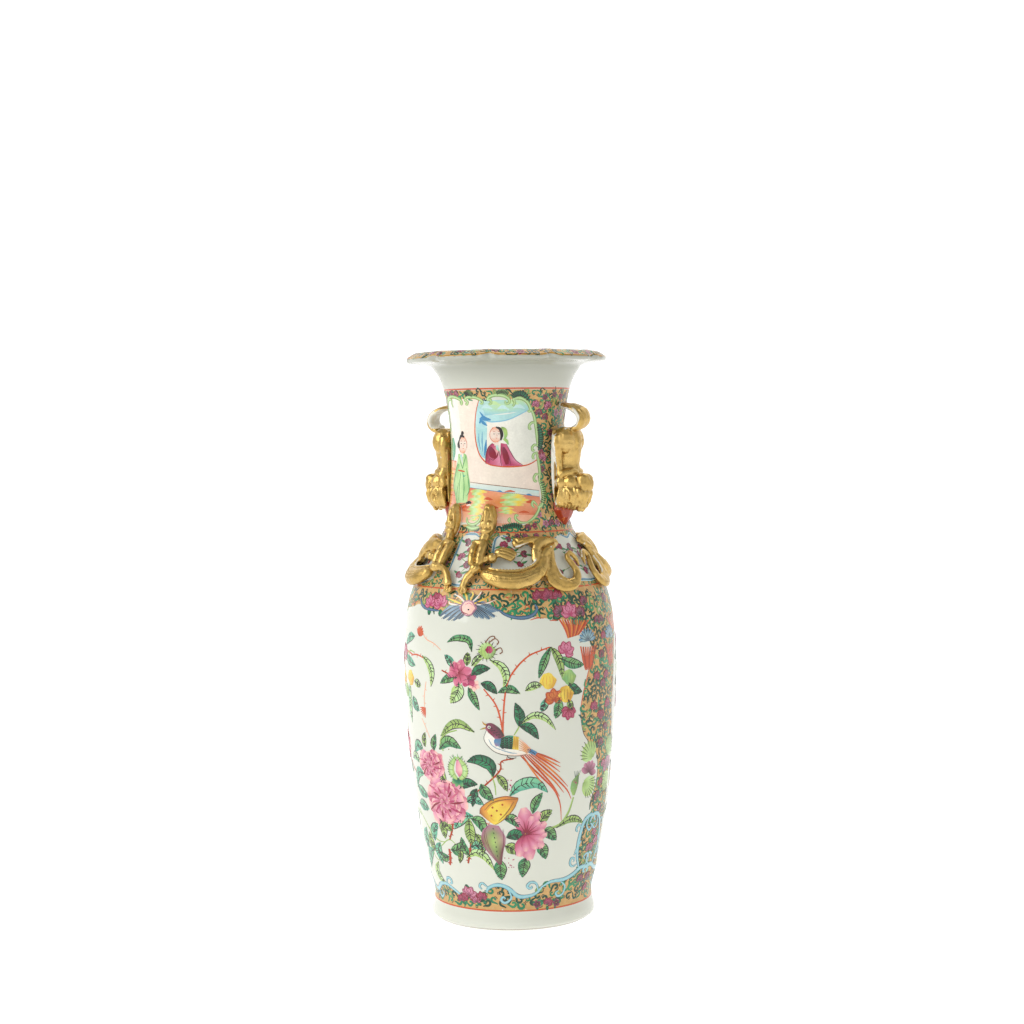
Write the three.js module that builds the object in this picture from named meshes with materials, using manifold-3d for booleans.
// A porcelain baluster vase of the Canton export kind: a body thrown in two halves, a neck, a lobed
// mouth and a foot, luted together with slip; a lion handle on each side of the neck; and two pairs
// of gilt chilong (hornless dragons) that climb the shoulder, one pair in front and one behind.
// Units are millimetres. +Z is up, the origin is the middle of the foot's rest face, the front of
// the vase looks along -Y and the handles lie on +X and -X.

import * as THREE from 'three';
import { mergeVertices } from 'three/addons/utils/BufferGeometryUtils.js';
import Module from 'manifold-3d';

const wasm = await Module();
wasm.setup();

// ---------------------------------------------------------------- driving dimensions

const HEIGHT = 350;            // crown of the mouth above the table
const WALL = 4.2;              // thickness of the thrown body wall
const NECK_WALL = 3.6;         // thickness of the neck wall
const SEAM = 0.3;              // slip seam between two luted pieces
const TURN_STEPS = 48;         // flats round a thrown section
const BODY_STEPS = 9;          // flats up the upper half of the body
const NECK_STEPS = 6;          // flats up the neck
const LOBES = 10;              // lobes of the mouth
const LOBE_STEPS = 6;          // flats round one lobe
const NOTCH_DEPTH = 2.4;       // how far each notch cuts into the lip
const NOTCH_LIFT = 1.3;        // how far the lip rises at a notch
const NOTCH_HALF_ANGLE = 5.2;  // degrees from the notch's point to where the lip is full again
const FIRST_NOTCH = 18;        // degrees from the front to the first notch
const CROWN_RADIUS = 52.6;     // radius of the mouth's crown, where its lobes begin
const CHILONG_AXIS = -8;       // degrees from the front to the middle of the front pair of chilong

// Heights of the joints between the thrown sections.
const FOOT_TOP = 11.5;
const FLOOR = 18;
const BELLY = 152;
const NECK_BASE = 243;
const MOUTH_BASE = 326;

// Outer line of the vase from the foot's rest face to the lip, as [radius, height].
const OUTLINE = [
  [47.0, 0], [49.8, 1.6], [50.6, 4.6], [50.0, 8], [49.1, 11.5], [49.4, 15.6], [52.4, 31], [55.6, 46],
  [58.1, 61], [61.8, 91], [64.5, 121], [65.9, 152], [65.7, 171], [64.9, 181], [62.7, 196], [60.3, 204],
  [56.9, 211.5], [52.2, 219.4], [46.6, 228], [42.2, 235.4], [39.3, 242], [37.4, 249.5], [35.9, 260],
  [35.0, 276], [34.7, 292], [35.6, 307], [37.1, 319], [39.4, 328], [42.4, 335.5], [46.0, 340.4],
];

// ---------------------------------------------------------------- the outer line as a function

const heights = OUTLINE.map(([, z]) => z);

/** Radius of the outer wall at height z, by a smooth cubic through the outline's points. */
function wallRadius(z) {
  const last = OUTLINE.length - 1;
  if (z <= 0) return OUTLINE[0][0];
  if (z >= heights[last]) return OUTLINE[last][0];
  const i = heights.findIndex((h) => h > z) - 1;
  const slope = (k) => {
    const a = OUTLINE[Math.max(k - 1, 0)];
    const b = OUTLINE[Math.min(k + 1, last)];
    return (b[0] - a[0]) / (b[1] - a[1]);
  };
  const [r0, z0] = OUTLINE[i];
  const [r1, z1] = OUTLINE[i + 1];
  const step = z1 - z0;
  const t = (z - z0) / step;
  const [t2, t3] = [t * t, t * t * t];
  return (2 * t3 - 3 * t2 + 1) * r0 + (t3 - 2 * t2 + t) * step * slope(i)
    + (3 * t2 - 2 * t3) * r1 + (t3 - t2) * step * slope(i + 1);
}

/** Frame on the wall at an angle from the front and a height: point, outward normal. */
function onWall(degrees, z) {
  const angle = THREE.MathUtils.degToRad(degrees);
  const slope = (wallRadius(z + 0.5) - wallRadius(z - 0.5)) / 1.0;
  const outward = new THREE.Vector3(Math.sin(angle), -Math.cos(angle), -slope).normalize();
  const radius = wallRadius(z);
  const point = new THREE.Vector3(radius * Math.sin(angle), -radius * Math.cos(angle), z);
  return { point, outward };
}

// ---------------------------------------------------------------- solids

/** A manifold solid from a closed BufferGeometry. */
function solidOf(geometry) {
  const bare = geometry.clone();
  bare.deleteAttribute('normal');
  bare.deleteAttribute('uv');
  const merged = mergeVertices(bare, 1e-4);
  return new wasm.Manifold(new wasm.Mesh({
    numProp: 3,
    vertProperties: new Float32Array(merged.attributes.position.array),
    triVerts: new Uint32Array(merged.index.array),
  }));
}

/** A BufferGeometry from a manifold solid. */
function geometryOf(solid) {
  const mesh = solid.getMesh();
  const geometry = new THREE.BufferGeometry();
  geometry.setAttribute('position', new THREE.BufferAttribute(new Float32Array(mesh.vertProperties), 3));
  geometry.setIndex(new THREE.BufferAttribute(new Uint32Array(mesh.triVerts), 1));
  geometry.computeVertexNormals();
  return geometry;
}

/** The largest connected body of a solid, so that slivers left by a cut are dropped. */
function mainBody(solid) {
  const pieces = solid.decompose();
  return pieces.reduce((best, piece) => (piece.volume() > best.volume() ? piece : best));
}

/** Turned solid: [radius, height] points, anticlockwise, that close on themselves or on the axis. */
function turned(points, steps = TURN_STEPS) {
  const outline = points.map(([r, z]) => new THREE.Vector2(r, z));
  const geometry = new THREE.LatheGeometry(outline, steps);
  geometry.rotateX(Math.PI / 2);
  return geometry;
}

/** Outer wall's points between two heights, with the given number of steps. */
function outerRun(z0, z1, steps) {
  return Array.from({ length: steps + 1 }, (_, i) => {
    const z = z0 + ((z1 - z0) * i) / steps;
    return [wallRadius(z), z];
  });
}

/** Thrown ring between two heights: outer wall up, inner wall down, closed. */
function thrownRing(z0, z1, thickness, steps) {
  const outer = outerRun(z0, z1, steps);
  const inner = outerRun(z0, z1, steps).map(([r, z]) => [r - thickness, z]).reverse();
  return turned([...outer, ...inner, outer[0]]);
}

/**
 * A rolled strip of clay. Each waypoint is a frame { point, outward } with a half width across the
 * strip and a half thickness along outward; the strip follows a smooth curve through them.
 */
function strip(waypoints, { steps = 12, sides = 6, grow = 0 } = {}) {
  const spine = new THREE.CatmullRomCurve3(waypoints.map((w) => w.point), false, 'centripetal');
  const last = waypoints.length - 1;
  const mix = (key, at) => {
    const i = Math.min(Math.floor(at), last - 1);
    return THREE.MathUtils.lerp(waypoints[i][key], waypoints[i + 1][key], at - i);
  };
  const rings = Array.from({ length: steps + 1 }, (_, i) => {
    const u = i / steps;
    const at = u * last;
    const k = Math.min(Math.floor(at), last - 1);
    const along = spine.getTangent(u);
    const outward = waypoints[k].outward.clone().lerp(waypoints[k + 1].outward, at - k);
    outward.addScaledVector(along, -outward.dot(along)).normalize();
    const across = along.clone().cross(outward);
    const centre = spine.getPoint(u);
    if (i === 0) centre.addScaledVector(along, -grow);
    if (i === steps) centre.addScaledVector(along, grow);
    const [w, t] = [mix('width', at) + grow, mix('thick', at) + grow];
    return { centre, points: Array.from({ length: sides }, (_unused, j) => {
      const a = (2 * Math.PI * j) / sides;
      return centre.clone().addScaledVector(across, w * Math.cos(a)).addScaledVector(outward, t * Math.sin(a));
    }) };
  });
  const position = rings.flatMap((ring) => ring.points.flatMap((p) => p.toArray()));
  position.push(...rings[0].centre.toArray(), ...rings[steps].centre.toArray());
  const [first, end] = [(steps + 1) * sides, (steps + 1) * sides + 1];
  const index = [];
  for (let j = 0; j < sides; j += 1) {
    const next = (j + 1) % sides;
    for (let i = 0; i < steps; i += 1) {
      const [a, b] = [i * sides + j, (i + 1) * sides + j];
      const [c, d] = [(i + 1) * sides + next, i * sides + next];
      index.push(a, b, c, a, c, d);
    }
    index.push(first, j, next);
    index.push(end, steps * sides + next, steps * sides + j);
  }
  const geometry = new THREE.BufferGeometry();
  geometry.setAttribute('position', new THREE.Float32BufferAttribute(position, 3));
  geometry.setIndex(index);
  return solidOf(geometry);
}

/** An egg-shaped lump with its three half sizes along across, up and out. */
function lump(frame, [across, up, out], { grow = 0, detail = 8 } = {}) {
  const geometry = new THREE.SphereGeometry(1, detail, Math.round(detail * 0.7));
  geometry.scale(across + grow, up + grow, out + grow);
  const side = new THREE.Vector3(0, 0, 1).cross(frame.outward).normalize();
  const rise = frame.outward.clone().cross(side);
  geometry.applyMatrix4(new THREE.Matrix4().makeBasis(side, rise, frame.outward).setPosition(frame.point));
  return solidOf(geometry);
}

const joined = (solids) => solids.reduce((a, b) => a.add(b));

// ---------------------------------------------------------------- materials

const porcelain = new THREE.MeshStandardMaterial({ color: 0xe9e9e0, roughness: 0.18, metalness: 0 });
const gilding = new THREE.MeshStandardMaterial({ color: 0xc9983a, roughness: 0.3, metalness: 1 });
const ironRed = new THREE.MeshStandardMaterial({ color: 0xa8340f, roughness: 0.25, metalness: 0 });

const vase = new THREE.Group();

function place(name, solid, material) {
  const mesh = new THREE.Mesh(geometryOf(mainBody(solid)), material);
  mesh.name = name;
  vase.add(mesh);
}

// ---------------------------------------------------------------- thrown sections

/** Foot: a flared ring that stands on a flat rest face. */
function footRing() {
  const outer = outerRun(0, FOOT_TOP, 5).slice(1);
  return solidOf(turned([
    [41.5, 0], [47.0, 0], ...outer, [40.5, FOOT_TOP], [40.0, 4], [41.5, 0],
  ]));
}

/** Lower half of the body, with the vase's floor across its base. */
function lowerBody() {
  const outer = outerRun(FOOT_TOP + SEAM, BELLY, 7);
  const inner = [
    [wallRadius(BELLY) - WALL, BELLY], [wallRadius(105) - WALL, 105], [wallRadius(62) - WALL, 62],
    [wallRadius(34) - WALL, 34], [43.5, FLOOR + 3.5], [36, FLOOR], [0, FLOOR],
  ];
  return solidOf(turned([[0, FOOT_TOP + SEAM], ...outer, ...inner]));
}

const upperBody = () => solidOf(thrownRing(BELLY + SEAM, NECK_BASE, WALL, BODY_STEPS));
const neck = () => solidOf(thrownRing(NECK_BASE + SEAM, MOUTH_BASE, NECK_WALL, NECK_STEPS));

/** How deep the lip is notched at an angle from the front: 1 at a notch's point, 0 along a lobe. */
function notch(degrees) {
  const pitch = 360 / LOBES;
  const offset = (((degrees - FIRST_NOTCH) % pitch) + pitch) % pitch;
  const away = Math.min(offset, pitch - offset);
  return Math.max(0, 1 - away / NOTCH_HALF_ANGLE);
}

/** Mouth: the trumpet end of the neck and a flange whose lip turns down in ten notched lobes. */
function mouthRim() {
  const outer = outerRun(MOUTH_BASE + SEAM, 340.4, 4);
  const lip = [[50, 342.3], [60.6, 343.6], [62.3, 344.8], [62.3, 346.4], [60.6, 347.4], [57.6, 349.2]];
  const inner = [
    [CROWN_RADIUS, HEIGHT], [47.4, 348.4], [43.6, 344.2], [38.6, 337], [35.6, 329],
    [wallRadius(MOUTH_BASE) - NECK_WALL, MOUTH_BASE + SEAM],
  ];
  const geometry = turned([...outer, ...lip, ...inner, outer[0]], LOBES * LOBE_STEPS);
  const position = geometry.attributes.position;
  for (let i = 0; i < position.count; i += 1) {
    const [x, y] = [position.getX(i), position.getY(i)];
    const radius = Math.hypot(x, y);
    if (radius > CROWN_RADIUS) {
      const share = (radius - CROWN_RADIUS) / (62.3 - CROWN_RADIUS);
      const depth = notch(THREE.MathUtils.radToDeg(Math.atan2(x, -y))) * share * share;
      const scale = (radius - NOTCH_DEPTH * depth) / radius;
      position.setXYZ(i, x * scale, y * scale, position.getZ(i) + NOTCH_LIFT * depth);
    }
  }
  return solidOf(geometry);
}

place('foot_ring', footRing(), porcelain);
place('lower_body', lowerBody(), porcelain);
place('upper_body', upperBody(), porcelain);
place('neck', neck(), porcelain);
place('mouth_rim', mouthRim(), porcelain);

/** Solid plug of the vase's outer line, a seam's width proud, that ornaments are cut back to. */
const wallPlug = (() => {
  const body = outerRun(BELLY + SEAM, NECK_BASE, BODY_STEPS);
  const throat = outerRun(NECK_BASE + SEAM, MOUTH_BASE, NECK_STEPS);
  const proud = [...body, ...throat].map(([r, z]) => [r + SEAM * 1.4, z]);
  return solidOf(turned([[0, BELLY], ...proud, [0, MOUTH_BASE]]));
})();

// ---------------------------------------------------------------- chilong on the shoulder

/**
 * One chilong, as a list of [name, build(grow)] in the order in which the potter lutes them on.
 * Angles are measured from the pair's axis and are mirrored by side, +1 or -1. A waypoint is
 * [angle, height, lift off the wall, half width, half thickness].
 */
function chilongParts(axis, side) {
  const at = ([angle, z, lift, width = 0, thick = 0]) => {
    const { point, outward } = onWall(axis + side * angle, z);
    return { point: point.addScaledVector(outward, lift), outward, width, thick };
  };
  const rolled = (list, options) => strip(list.map(at), options);
  return [
    ['body', (grow) => joined([
      rolled([
        [16, 236, 3.6, 3.2, 3.0], [15, 229, 4.6, 4.6, 4.0], [18, 220, 5.2, 4.6, 4.2],
        [26, 214.5, 5.4, 4.9, 4.0], [37, 212.8, 5.2, 5.2, 3.8], [47, 215.5, 4.8, 4.8, 3.4],
        [54, 221.5, 4.2, 3.8, 3.0], [58, 229, 3.4, 2.8, 2.4],
      ], { steps: 20, grow }),
      lump(at([14.5, 230, 4.6]), [5.4, 4.6, 3.8], { grow }),
    ])],
    ['head', (grow) => joined([
      lump(at([17.5, 247.2, 2.6]), [5.0, 9.2, 3.4], { grow }),
      lump(at([15.6, 252.2, 3.4]), [3.2, 4.6, 3.0], { grow }),
      lump(at([15.8, 243.2, 3.6]), [3.0, 5.6, 3.0], { grow }),
    ])],
    ['fore_leg', (grow) => joined([
      rolled([
        [19, 224, 5.6, 3.2, 3.0], [26.5, 225.6, 6.0, 3.4, 3.2], [33, 225.6, 3.4, 3.0, 2.4],
        [39, 226.6, 1.8, 3.0, 1.8],
      ], { steps: 8, grow }),
    ])],
    ['hind_leg', (grow) => joined([
      lump(at([14, 217.8, 5.8]), [5.2, 4.6, 3.6], { grow }),
      rolled([
        [12.6, 216, 5.0, 3.2, 2.8], [8.6, 212, 4.0, 2.3, 2.3], [7.0, 207.6, 2.6, 2.1, 2.0],
        [7.4, 203.4, 1.6, 2.3, 1.6],
      ], { steps: 8, grow }),
    ])],
    ['tail_curl', (grow) => rolled([
      [66, 231.2, 2.0, 1.6, 1.8], [60, 233.6, 2.6, 2.5, 2.4], [52, 233.4, 3.0, 2.6, 2.4],
      [45, 234.2, 3.0, 2.4, 2.2], [40.6, 233.6, 2.6, 3.0, 2.2], [38.6, 231.4, 2.0, 2.2, 1.8],
    ], { steps: 12, grow })],
    ['tail_scroll', (grow) => rolled([
      [66.5, 228.4, 2.2, 2.0, 2.0], [60.6, 224, 2.8, 2.6, 2.6], [57.6, 217.6, 3.2, 2.9, 2.8],
      [58.8, 211.4, 3.0, 2.9, 2.6], [64.6, 208.2, 2.6, 3.0, 2.4], [71.6, 209.4, 2.4, 2.8, 2.2],
      [76.2, 214.4, 2.2, 2.2, 2.0], [75.6, 220, 2.0, 1.8, 1.8], [71.0, 223.2, 1.6, 1.5, 1.5],
    ], { steps: 22, grow })],
  ];
}

const pairs = [['front', CHILONG_AXIS], ['back', CHILONG_AXIS + 180]];
for (const [where, axis] of pairs) {
  for (const [hand, side] of [['right', 1], ['left', -1]]) {
    const luted = [];
    for (const [part, build] of chilongParts(axis, side)) {
      const solid = luted.reduce((shape, earlier) => shape.subtract(earlier), build(0).subtract(wallPlug));
      place(`chilong_${where}_${hand}_${part}`, solid, gilding);
      luted.push(build(SEAM));
    }
  }
}

// ---------------------------------------------------------------- lion handles on the neck

/**
 * One lion handle. A waypoint is [distance from the vase's axis, sideways, height, half width, half
 * thickness, outward tilt in degrees above level].
 */
function lionParts(degrees) {
  const angle = THREE.MathUtils.degToRad(degrees);
  const out = new THREE.Vector3(Math.sin(angle), -Math.cos(angle), 0);
  const sideways = new THREE.Vector3(Math.cos(angle), Math.sin(angle), 0);
  const up = new THREE.Vector3(0, 0, 1);
  const at = ([x, y, z, width = 0, thick = 0, tilt = 0]) => {
    const lean = THREE.MathUtils.degToRad(tilt);
    return {
      point: out.clone().multiplyScalar(x).addScaledVector(sideways, y).addScaledVector(up, z),
      outward: out.clone().multiplyScalar(Math.cos(lean)).addScaledVector(up, Math.sin(lean)),
      width,
      thick,
    };
  };
  const rolled = (list, options) => strip(list.map(at), options);
  return [
    ['body', gilding, (grow) => joined([
      rolled([[37, 0, 301.5, 9.5, 2.2], [37, 0, 290, 11.5, 2.2], [37, 0, 270, 11.5, 2.2],
        [38, 0, 257, 9.0, 2.2]], { steps: 5, sides: 8, grow }),
      rolled([[42, 0, 302, 7.0, 5.0], [42.4, 0, 296, 8.4, 6.6], [42.2, 0, 286, 7.4, 6.2],
        [42.6, 0, 276, 8.2, 6.6], [44, 0, 270, 8.6, 6.6]], { steps: 7, sides: 8, grow }),
      lump(at([42, -6.6, 294.6]), [4.4, 6.6, 5.2], { grow }),
      lump(at([42, 6.6, 294.6]), [4.4, 6.6, 5.2], { grow }),
      lump(at([41, -7.4, 277.5]), [4.0, 7.4, 4.8], { grow }),
      lump(at([41, 7.4, 277.5]), [4.0, 7.4, 4.8], { grow }),
    ])],
    ['head', gilding, (grow) => joined([
      lump(at([47.6, 0, 266.2]), [10.6, 9.0, 9.6], { grow, detail: 10 }),
      lump(at([51.6, 0, 260.4]), [6.4, 7.4, 5.2], { grow }),
      lump(at([42.4, 0, 260.4]), [10.6, 8.8, 6.6], { grow }),
    ])],
    ['tail_loop', gilding, (grow) => rolled([
      [36.2, 0, 313.6, 5.4, 1.1, 80], [41, 0, 316.0, 5.2, 1.1, 84], [46.4, 0, 316.4, 5.0, 1.1, 76],
      [51.2, 0, 314.0, 4.8, 1.1, 40], [53.2, 0, 309.8, 4.6, 1.1, 0], [51.4, 0, 305.8, 4.6, 1.1, -44],
      [46.6, 0, 304.2, 4.8, 1.1, -80], [41, 0, 304.8, 5.2, 1.1, -92], [35.8, 0, 304.4, 5.6, 1.1, -88],
    ], { steps: 22, grow })],
    ['ribbon', ironRed, (grow) => rolled([
      [41.0, 0, 256.5, 6.6, 3.4], [40.8, 0, 251.8, 6.0, 3.2], [40.2, 0, 247.6, 3.8, 2.4],
      [39.6, 0, 243.8, 1.0, 1.3],
    ], { steps: 7, grow })],
  ];
}

for (const [hand, degrees] of [['right', 90], ['left', -90]]) {
  const luted = [];
  for (const [part, material, build] of lionParts(degrees)) {
    const solid = luted.reduce((shape, earlier) => shape.subtract(earlier), build(0).subtract(wallPlug));
    place(`lion_${hand}_${part}`, solid, material);
    luted.push(build(SEAM));
  }
}

export default vase;
